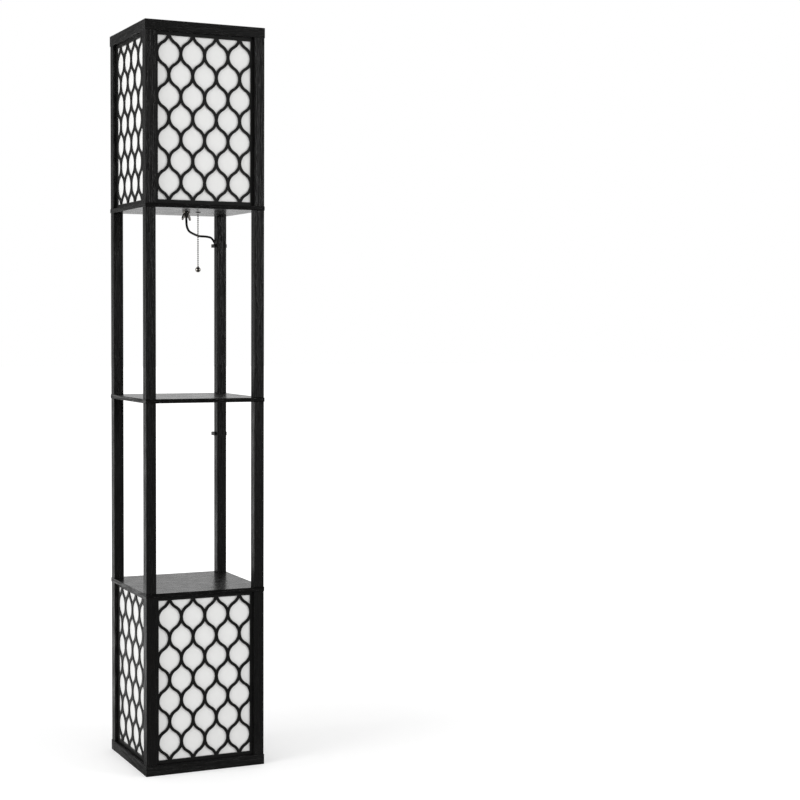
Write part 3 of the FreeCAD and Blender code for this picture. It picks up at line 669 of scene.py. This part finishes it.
ogee_lattice = lattice_tree()
for lantern, (low, high) in lantern_spans.items():
    stand = (
        Matrix.Translation((0, lattice_front + lattice_thickness, (low + high) / 2))
        @ Matrix.Rotation(math.pi / 2, 4, "X"))
    for side, turn in side_turns.items():
        panel = grown(
            ogee_seed(), ogee_lattice, Column_Pitch=column_pitch, Row_Pitch=row_pitch,
            Half_Window=half_window, Half_Opening=(high - low) / 2 - end_border,
            Plate_Width=2 * half_panel, Plate_Height=high - low - 2 * panel_play,
            Thickness=lattice_thickness, Columns=5, Rows=5, Finish=black_stain)
        panel.transform(Matrix.Rotation(math.radians(turn), 4, "Z") @ stand)
        add_piece(
            f"{lantern}_lattice_{side}_cut", panel, f"{lantern}_lattice_{side}")


# ---------------------------------------------------------------- white sheets
# Thin milky plastic sheet, one behind each lattice, in the same grooves as the panel.

milky_sheet = moulded_finish(
    "milky_sheet", (0.80, 0.80, 0.79), (0.84, 0.84, 0.83), 0.5, 0.6, 1800.0, 0.00004,
    Specular_IOR_Level=0.3)
for node in ("upper_diffusers", "lower_diffusers"):
    finished(node, milky_sheet, 0.0002)


# ---------------------------------------------------------------- lamp holders and bulbs
# Black moulded holders with ribbed bodies: the upper one is drawn down on its board by a hollow
# threaded tube and holds the pull switch, the lower one stands on a screwed cup. Frosted bulbs.

upper_holder_base, lower_holder_base = 1.218, 0.009
upper_bulb_seat, lower_bulb_seat = 1.256, 0.039
holder_radius = 0.0165
rib_width = 0.0012
holder_black = moulded_finish(
    "holder_black", (0.008, 0.0078, 0.0075), (0.016, 0.0155, 0.015), 0.16, 0.26, 600.0, 0.00003)
frosted_glass = moulded_finish(
    "frosted_glass", (0.80, 0.80, 0.78), (0.86, 0.86, 0.84), 0.2, 0.3, 2500.0, 0.00002,
    Coat_Weight=0.3)
turning_sides = 64


def spline_points(points, per_span):
    """Points on a smooth line through the given (radius, height) points."""
    ends = [points[0]] + points + [points[-1]]
    line = []
    for a, b, c, d in zip(ends, ends[1:], ends[2:], ends[3:]):
        for i in range(per_span):
            t = i / per_span
            line.append(tuple(
                0.5 * (2 * q + (r - p) * t + (2 * p - 5 * q + 4 * r - s) * t ** 2
                       + (3 * q - p - 3 * r + s) * t ** 3)
                for p, q, r, s in zip(a, b, c, d)))
    return line + [points[-1]]


def second_finish(work, first_faces):
    """Gives every face after the first so many the mesh's second material."""
    work.faces.ensure_lookup_table()
    for face in work.faces[first_faces:]:
        face.material_index = 1


def bulb_mesh(seat):
    """A pear bulb with its threaded cap."""
    pear = [(0.0126, 0.0245), (0.0147, 0.028), (0.0177, 0.039), (0.0258, 0.0605), (0.0298, 0.077),
            (0.0272, 0.0935), (0.0175, 0.1055), (0.0, 0.11)]
    work = lathe([(0, 0.0245)] + spline_points(pear, 6), turning_sides)
    glass_faces = len(work.faces)
    add_mesh(work, threaded(
        radius=0.0130, depth=0.0010, pitch=0.0036, z0=0.003, z1=0.0255, count=48))
    add_mesh(work, lathe([(0, 0), (0.004, 0), (0.0045, 0.001), (0.011, 0.003), (0, 0.003)], 32))
    second_finish(work, glass_faces)
    work.transform(Matrix.Translation((0, 0, seat)))
    return smooth_mesh(work, "bulb", frosted_glass, zinc)


add_piece("upper_bulb_blown", bulb_mesh(upper_bulb_seat), "upper_bulb")
add_piece("lower_bulb_blown", bulb_mesh(lower_bulb_seat), "lower_bulb")


def holder_body(profile, ribs_from, ribs_to, rib_count=36, rib_depth=0.0004):
    """A turned holder with upright ribs round it."""
    work = lathe(profile, turning_sides)
    for i in range(rib_count):
        rib = cube()
        bmesh.ops.bevel(rib, geom=rib.edges[:], offset=0.15, segments=2, affect="EDGES", profile=0.5)
        add_mesh(
            work, rib, Matrix.Rotation(2 * math.pi * i / rib_count, 4, "Z")
            @ Matrix.Translation((holder_radius, 0, (ribs_from + ribs_to) / 2))
            @ Matrix.Diagonal((2 * rib_depth, rib_width, ribs_to - ribs_from, 1)))
    return work


def upper_holder():
    """The socket with its foot, its bore for the tube, and the pull switch's arm."""
    work = holder_body([
        (0.0051, 0), (0.0214, 0), (0.022, 0.0006), (0.022, 0.0024), (0.0214, 0.003),
        (0.0172, 0.0042), (holder_radius, 0.006), (holder_radius, 0.0588), (0.0168, 0.0594),
        (0.0168, 0.0614), (0.0162, 0.062), (0.0141, 0.062), (0.0135, 0.0614), (0.0135, 0.038),
        (0, 0.038), (0, 0.008), (0.0051, 0.008), (0.0051, 0)], 0.03, 0.056)
    arm = cube()
    arm.transform(
        Matrix.Translation((0.02225, 0, 0.0201)) @ Matrix.Diagonal((0.0185, 0.009, 0.011, 1)))
    bmesh.ops.bevel(arm, geom=arm.edges[:], offset=0.0012, segments=3, affect="EDGES", profile=0.5)
    add_mesh(work, arm)
    work.transform(Matrix.Translation((0, 0, upper_holder_base)))
    return smooth_mesh(work, "upper_holder", holder_black)


def lower_holder():
    """The socket on its cup."""
    work = holder_body([
        (0, 0), (0.0292, 0), (0.03, 0.0008), (0.03, 0.019), (0.0292, 0.02), (0.0196, 0.0236),
        (0.0185, 0.0248), (holder_radius, 0.03), (holder_radius, 0.0508), (0.0168, 0.0514),
        (0.0168, 0.0534), (0.0162, 0.054), (0.0141, 0.054), (0.0135, 0.0534), (0.0135, 0.03),
        (0, 0.03)], 0.031, 0.049)
    work.transform(Matrix.Translation((0, 0, lower_holder_base)))
    return smooth_mesh(work, "lower_holder", holder_black)


add_piece("upper_holder_moulded", upper_holder(), "upper_lamp_holder")
add_piece("lower_holder_moulded", lower_holder(), "lower_lamp_holder")


# ---------------------------------------------------------------- threaded tube and wing nut
# The tube is nickel-plated brass with a fine thread. The nut is a cast hub with two broad wings
# that flare down and out, plated like the tube, and is turned up by hand against the board.

tube_radius, tube_bore = 0.0049, 0.0032
tube_low, tube_high = 1.196, 1.226
tube_sides = 32
board_underside = 1.209
wing_angle = math.radians(43)
wing_thickness = 0.003
wing_points = [
    (0.0055, -0.0030), (0.0110, -0.0035), (0.0160, -0.0085), (0.0190, -0.0145), (0.0182, -0.0177),
    (0.0158, -0.0185), (0.0132, -0.0165), (0.0080, -0.0100), (0.0055, -0.0100)]
nickel = moulded_finish(
    "nickel_plate", (0.25, 0.235, 0.215), (0.34, 0.32, 0.295), 0.12, 0.22, 800.0, 0.00003,
    Metallic=1.0)


def tube_mesh():
    """The threaded tube, bored from end to end."""
    work = threaded(
        tube_radius, depth=0.0005, pitch=0.001, z0=tube_low, z1=tube_high, count=tube_sides)
    bore_rings = []
    for cap in [f for f in work.faces if len(f.verts) == tube_sides]:
        ring = list(cap.verts)
        centre = Vector((0, 0, ring[0].co.z))
        work.faces.remove(cap)
        inner = [
            work.verts.new(centre + (v.co - centre).normalized() * tube_bore) for v in ring]
        band(work, ring, inner)
        bore_rings.append(sorted(inner, key=lambda v: math.atan2(v.co.y, v.co.x)))
    band(work, *sorted(bore_rings, key=lambda ring: ring[0].co.z))
    bmesh.ops.recalc_face_normals(work, faces=work.faces)
    return smooth_mesh(work, "tube", nickel)


def ring_in(work, outline, y):
    """A ring of points along an outline in XZ."""
    return [work.verts.new((x, y, z)) for x, z in outline]


def wing_nut_mesh():
    """A turned hub and two wings with eased rims."""
    work = lathe([
        (0.0051, 0), (0.0081, 0), (0.0085, -0.0004), (0.0085, -0.0018), (0.0078, -0.0026),
        (0.0062, -0.0092), (0.0057, -0.01), (0.0051, -0.01), (0.0051, 0)], turning_sides)
    rim = [wing_points[0]] + spline_points(wing_points[1:8], 5) + [wing_points[8]]
    for side in (0, math.pi):
        wing = bmesh.new()
        near, far = ring_in(wing, rim, -wing_thickness / 2), ring_in(wing, rim, wing_thickness / 2)
        wing.faces.new(near)
        wing.faces.new(far)
        band(wing, near, far)
        bmesh.ops.recalc_face_normals(wing, faces=wing.faces)
        rims = [e for e in wing.edges if e.is_manifold and e.calc_face_angle() > 1]
        bmesh.ops.bevel(wing, geom=rims, offset=0.0009, segments=3, affect="EDGES", profile=0.6)
        add_mesh(work, wing, Matrix.Rotation(side, 4, "Z"))
    work.transform(
        Matrix.Translation((0, 0, board_underside)) @ Matrix.Rotation(wing_angle, 4, "Z"))
    return smooth_mesh(work, "wing_nut", nickel, sharp=40)


add_piece("holder_tube_threaded", tube_mesh(), "holder_tube")
add_piece("wing_nut_cast", wing_nut_mesh(), "wing_nut")


# ---------------------------------------------------------------- pull chain
# Nickel-plated ball chain: hollow beads on short wire links, through a black bushing in the
# board, with a larger hollow ball crimped on its end.

bead_radius = 0.0016
link_radius = 0.0005
link_share = 0.8             # of the pitch
chain_x = 0.027
ball_radius, ball_height = 0.006, 1.083
ball_arcs = 24
polished_nickel = moulded_finish(
    "polished_nickel", (0.34, 0.32, 0.29), (0.44, 0.415, 0.38), 0.05, 0.12, 500.0, 0.00001,
    Metallic=1.0)
# A darker copy of the polished nickel for the chain's beads: a painted dark reflection, dimmed so
# that the beads look as dark as the dark surroundings they mirror.
aged_nickel = moulded_finish(
    "aged_nickel", (0.085, 0.076, 0.064), (0.13, 0.118, 0.10), 0.12, 0.2, 500.0, 0.00001,
    Metallic=1.0)


def chain_tree():
    """Beads down a line, and a link in each gap."""
    tree, given, end = geometry_tree(
        "ball_chain", ("Top", "Pitch", "Bead Radius", "Link Radius", "Chain X"), ("Count",))

    def run(shape, pitches_down, fewer):
        height = maths(tree, "MULTIPLY_ADD", given["Pitch"], -pitches_down, given["Top"])
        line = step_in(tree, "GeometryNodeMeshLine", {
            "Count": maths(tree, "SUBTRACT", given["Count"], fewer),
            "Start Location": step_in(
                tree, "ShaderNodeCombineXYZ", {"X": given["Chain X"], "Z": height}),
            "Offset": step_in(
                tree, "ShaderNodeCombineXYZ", {"Z": maths(tree, "MULTIPLY", given["Pitch"], -1)})})
        return step_in(tree, "GeometryNodeInstanceOnPoints", {"Points": line, "Instance": shape})

    bead = step_in(tree, "GeometryNodeMeshUVSphere", {
        "Segments": 16, "Rings": 10, "Radius": given["Bead Radius"]})
    rod = step_in(tree, "GeometryNodeMeshCylinder", {
        "Vertices": 8, "Radius": given["Link Radius"],
        "Depth": maths(tree, "MULTIPLY", given["Pitch"], link_share)})
    both = step_in(tree, "GeometryNodeJoinGeometry", {"Geometry": [
        run(bead, pitches_down=0.5, fewer=0), run(rod, pitches_down=1.0, fewer=1)]})
    real = step_in(tree, "GeometryNodeRealizeInstances", {"Geometry": both})
    close_tree(tree, given, end, step_in(tree, "GeometryNodeSetShadeSmooth", {"Geometry": real}))
    return tree


ball_chain = chain_tree()
for name, node, body, top, bottom, count in (
        ("switch_chain_beads", "switch_chain", "switch_chain", 1.243, 1.2063, 9),
        ("pull_chain_beads", "pull_chain", "hanging_chain", 1.2057, 1.089, 28)):
    beads = grown(
        bpy.data.meshes.new("chain_seed"), ball_chain, Top=top, Pitch=(top - bottom) / count,
        Count=count, Bead_Radius=bead_radius, Link_Radius=link_radius, Chain_X=chain_x,
        Finish=aged_nickel)
    add_piece(name, beads, node, body)


def on_chain_line(profile, name, material):
    """A small part turned about the chain's line."""
    mesh = smooth_mesh(lathe(profile, 48), name, material)
    mesh.transform(Matrix.Translation((chain_x, 0, 0)))
    return mesh


ball_top = ball_height + ball_radius
ball_profile = [(0, ball_height - ball_radius)]
for arc in range(1, ball_arcs):
    angle = math.pi * arc / ball_arcs
    ball_profile.append(
        (ball_radius * math.sin(angle), ball_height - ball_radius * math.cos(angle)))
ball_profile[ball_arcs // 2] = (ball_radius * 0.985, ball_height)    # the seam
ball_profile += [(0.0019, ball_top), (0.0021, ball_top + 0.0004), (0.0018, ball_top + 0.0018),
                 (0, ball_top + 0.0018)]
add_piece(
    "chain_ball_hollow", on_chain_line(ball_profile, "ball", polished_nickel),
    "chain_ball", "hanging_chain")

bushing_profile = [
    (0.0026, 1.2078), (0.0034, 1.2075), (0.0062, 1.2084), (0.0065, 1.2087), (0.0065, 1.209),
    (0.004, 1.209), (0.004, 1.218), (0.0026, 1.218), (0.0026, 1.2078)]
add_piece(
    "chain_bushing_moulded", on_chain_line(bushing_profile, "bushing", holder_black),
    "chain_bushing")


# ---------------------------------------------------------------- clips, cord grip, switch and plug
# Black moulded plastic. The clips spring round the back right post with the lead behind it.
# The grip's sleeve tapers down to the lead. The switch lies on the floor beside the coil.

black_moulding = moulded_finish(
    "black_moulding", (0.007, 0.007, 0.007), (0.014, 0.014, 0.0138), 0.3, 0.42, 800.0, 0.00006,
    Specular_IOR_Level=0.45)
button_grey = moulded_finish(
    "button_grey", (0.055, 0.055, 0.056), (0.075, 0.075, 0.077), 0.26, 0.36, 900.0, 0.00005)

finished("cord_clips", black_moulding, 0.0008)

grip_hole = (0.07, 0.1335, 0.0155)
grip_tip = 0.032
grip_ring = 0.0036
grip_rings = 7
collar_end = 0.003
sleeve = [(0, -0.0255), (0.0034, -0.0255), (0.0034, 0), (0.0052, 0), (0.0055, 0.0003),
          (0.0055, 0.0017), (0.0052, 0.002), (0.0046, collar_end)]
for ring in range(grip_rings):
    start = 0.0048 + ring * grip_ring
    for share, groove in ((0, 0), (0.1, 0.0006), (0.35, 0.0006), (0.45, 0)):
        along = start + share * grip_ring
        taper = 0.0013 * (along - collar_end) / (grip_tip - collar_end)
        sleeve.append((0.0046 - taper - groove, along))
sleeve += [(0.0033, grip_tip), (0, grip_tip)]
grip_mesh = smooth_mesh(lathe(sleeve, 48), "grip", black_moulding)
grip_mesh.transform(Matrix.Translation(grip_hole) @ Matrix.Rotation(-math.pi / 2, 4, "X"))
grip = add_piece("cord_grip_ringed", grip_mesh, "cord_grip")

switch_place = Matrix.Translation((0.004, 0.239, 0))
case_half_x, case_half_y, case_corner = 0.024, 0.015, 0.005
case_steps = (
    (0.0012, 0), (0, 0.0012), (0, 0.0078), (0.0005, 0.0079), (0.0005, 0.0083), (0, 0.0084),
    (0, 0.0125), (0.0004, 0.0141), (0.0014, 0.0155), (0.003, 0.0165), (0.005, 0.017))
well_steps = ((0.0090, 0.017), (0.0083, 0.0165), (0.0083, 0.0087))
button_mesh = smooth_mesh(lathe([
    (0, 0.012), (0.008, 0.012), (0.008, 0.0188), (0.0077, 0.0197), (0.0069, 0.0204),
    (0.0062, 0.0205), (0.0053, 0.0203), (0.003, 0.0198), (0, 0.0196)], 64), "button", button_grey)
button_mesh.transform(switch_place)
switch_button = add_piece(
    "switch_button_dished", button_mesh, "foot_switch_button", "foot_button")

plug_centre = (0.1556, 0.008587)


def block(x0, x1, width, height, ease, taper=1.0, centre=plug_centre):
    """A rounded block along X about a line, its first end drawn in by the taper."""
    work = cube()
    for v in work.verts:
        share = taper if v.co.x < 0 else 1
        v.co = Vector((
            (x0 + x1) / 2 + v.co.x * (x1 - x0), centre[0] + v.co.y * width * share,
            centre[1] + v.co.z * height * share))
    bmesh.ops.recalc_face_normals(work, faces=work.faces)
    bmesh.ops.bevel(work, geom=work.edges[:], offset=ease, segments=4, affect="EDGES", profile=0.5)
    return work


def case_ring(work, half_x, half_y, corner, height):
    """A ring of points round a rectangle with rounded corners; a circle where all three are equal."""
    ring = []
    for i in range(turning_sides):
        angle = 2 * math.pi * (i + 0.5) / turning_sides
        x, y = math.cos(angle), math.sin(angle)
        ring.append(work.verts.new((
            math.copysign(half_x - corner, x) + corner * x,
            math.copysign(half_y - corner, y) + corner * y, height)))
    return ring


def case_mesh():
    """A base and a crowned lid with a split line between, the button's well, and two snouts."""
    work = bmesh.new()
    rings = [
        case_ring(work, case_half_x - inset, case_half_y - inset, case_corner - inset / 2, height)
        for inset, height in case_steps]
    rings += [case_ring(work, radius, radius, radius, height) for radius, height in well_steps]
    for near, far in zip(rings, rings[1:]):
        band(work, near, far)
    work.faces.new(rings[0])
    work.faces.new(rings[-1])
    bmesh.ops.recalc_face_normals(work, faces=work.faces)
    for end in (-1, 1):
        add_mesh(work, block(
            end * 0.029, end * 0.0235, 0.009, 0.009, ease=0.001, taper=0.85, centre=(0, 0.0045)))
    work.transform(switch_place)
    return smooth_mesh(work, "case", black_moulding)


switch_case = add_piece("switch_case_moulded", case_mesh(), "foot_switch_case")

plug_neck_start, plug_neck_end, plug_body_end, blade_end = -0.051, -0.033, -0.007, 0.0105
plug_width, plug_height = 0.022, 0.015
collars = 5
collar_pitch, collar_length = 0.0035, 0.0022
blade_height, blade_thickness, blade_offset = 0.0063, 0.0015, 0.00635
blade_corner = 0.0012
blade_hole_x, blade_hole_radius = blade_end - 0.004, 0.0015
blade_sides = 32


def blade_mesh(offset):
    """A flat blade with drawn-in corners and a round hole near its tip."""
    half = blade_height / 2
    ahead = blade_end - blade_hole_x
    behind = blade_hole_x - (plug_body_end - 0.002)
    outer, inner = [], []
    for i in range(blade_sides):
        angle = 2 * math.pi * (i + 0.5) / blade_sides
        dx, dz = math.cos(angle), math.sin(angle)
        reach = min(
            ahead / dx if dx > 1e-6 else 1,
            behind / -dx if dx < -1e-6 else 1,
            half / abs(dz) if abs(dz) > 1e-6 else 1,
            (ahead + half - blade_corner) / (dx + abs(dz)) if dx + abs(dz) > 1e-6 else 1)
        for outline, distance in ((outer, reach), (inner, blade_hole_radius)):
            outline.append((blade_hole_x + dx * distance, dz * distance))
    work = bmesh.new()
    side = blade_thickness / 2
    rings = [ring_in(work, outline, y) for outline, y in (
        (outer, -side), (inner, -side), (inner, side), (outer, side))]
    for near, far in zip(rings, rings[1:] + rings[:1]):
        band(work, near, far)
    bmesh.ops.recalc_face_normals(work, faces=work.faces)
    work.transform(Matrix.Translation((0, plug_centre[0] + offset, plug_centre[1])))
    return work


plug_work = bmesh.new()
add_mesh(plug_work, block(
    plug_neck_end, plug_body_end, plug_width, plug_height, ease=0.0028, taper=0.86))
add_mesh(plug_work, block(
    plug_neck_start, plug_neck_end + 0.003, 0.0078, 0.0074, ease=0.001, taper=0.8))
for collar in range(collars):
    x0 = plug_neck_start + 0.0006 + collar * collar_pitch
    share = collar / collars
    add_mesh(plug_work, block(
        x0, x0 + collar_length, 0.0072 + 0.0028 * share, 0.0072 + 0.0018 * share, ease=0.0007))
moulded_faces = len(plug_work.faces)
for offset in (-blade_offset, blade_offset):
    add_mesh(plug_work, blade_mesh(offset))
second_finish(plug_work, moulded_faces)
plug = add_piece(
    "plug_moulded", smooth_mesh(plug_work, "plug", black_moulding, nickel), "plug")


# ---------------------------------------------------------------- floor, light and backdrop
# A plain white floor that runs on into a white surround, a broad soft light on the left and a
# weaker one in front on the right. In reflections the side behind the camera and the left are
# dimmer, as in a studio.

def floor_finish():
    """White to the camera but for its shadow; for reflections it darkens towards the front."""
    material, tree, shader = new_material("floor_white", Roughness=0.9, Specular_IOR_Level=0.0)
    rays = add_node(tree, "ShaderNodeLightPath").outputs
    place = object_mapping(tree)
    depth = add_node(tree, "ShaderNodeSeparateXYZ", {0: place}).outputs["Y"]
    dimmed = smoothed(tree, depth, -0.6, 1.2, 0.06, 1.0)
    tree.links.new(mixed(tree, rays["Is Glossy Ray"], 0.8, dimmed), shader.inputs["Base Color"])
    away = add_node(tree, "ShaderNodeVectorMath", {0: place}, operation="LENGTH").outputs["Value"]
    faded = smoothed(tree, away, 0.4, 2.5, 0.3, 0.6)
    lift = maths(tree, "MULTIPLY", rays["Is Camera Ray"], faded)
    shader.inputs["Emission Color"].default_value = (1, 1, 1, 1)
    tree.links.new(lift, shader.inputs["Emission Strength"])
    return material


floor_work = bmesh.new()
bmesh.ops.create_grid(floor_work, x_segments=1, y_segments=1, size=30)
floor_mesh = bpy.data.meshes.new("floor")
floor_work.to_mesh(floor_mesh)
floor_work.free()
floor_mesh.materials.append(floor_finish())
floor = bpy.data.objects.new("floor", floor_mesh)
bpy.context.scene.collection.objects.link(floor)

world = bpy.data.worlds.new("studio")
bpy.context.scene.world = world
world.use_nodes = True
sky = world.node_tree
rays = add_node(sky, "ShaderNodeLightPath").outputs
direction = add_node(sky, "ShaderNodeTexCoord").outputs["Generated"]
apart = add_node(sky, "ShaderNodeSeparateXYZ", {0: direction}).outputs
ahead = smoothed(sky, apart["Y"], -0.6, 0.1, 0.05, 1.0)
sideways = smoothed(sky, apart["X"], -0.3, 0.25, 0.12, 0.73)
around = maths(sky, "MULTIPLY", ahead, sideways)
reflected = mixed(sky, rays["Is Glossy Ray"], 0.77, around)
seen = maths(sky, "MAXIMUM", rays["Is Camera Ray"], rays["Is Transmission Ray"])
background = sky.nodes["Background"]
background.inputs["Color"].default_value = (1, 1, 1, 1)
sky.links.new(mixed(sky, seen, reflected, 1.0), background.inputs["Strength"])


def soft_light(name, place, aim, width, height, power):
    """A rectangle of even light that faces a point."""
    data = bpy.data.lights.new(name, "AREA")
    data.shape = "RECTANGLE"
    data.size, data.size_y = width, height
    data.energy = power
    lamp = bpy.data.objects.new(name, data)
    bpy.context.scene.collection.objects.link(lamp)
    lamp.location = place
    lamp.rotation_mode = "QUATERNION"
    lamp.rotation_quaternion = (Vector(aim) - Vector(place)).to_track_quat("-Z", "Y")


soft_light(
    "left_light", place=(-3.2, -0.6, 1.5), aim=(0, 0, 0.8), width=2.4, height=2.6, power=60)
soft_light(
    "front_light", place=(3.3, -3.3, 1.7), aim=(0, 0, 0.9), width=1.6, height=1.6, power=48)

bpy.context.scene.view_settings.view_transform = "Standard"
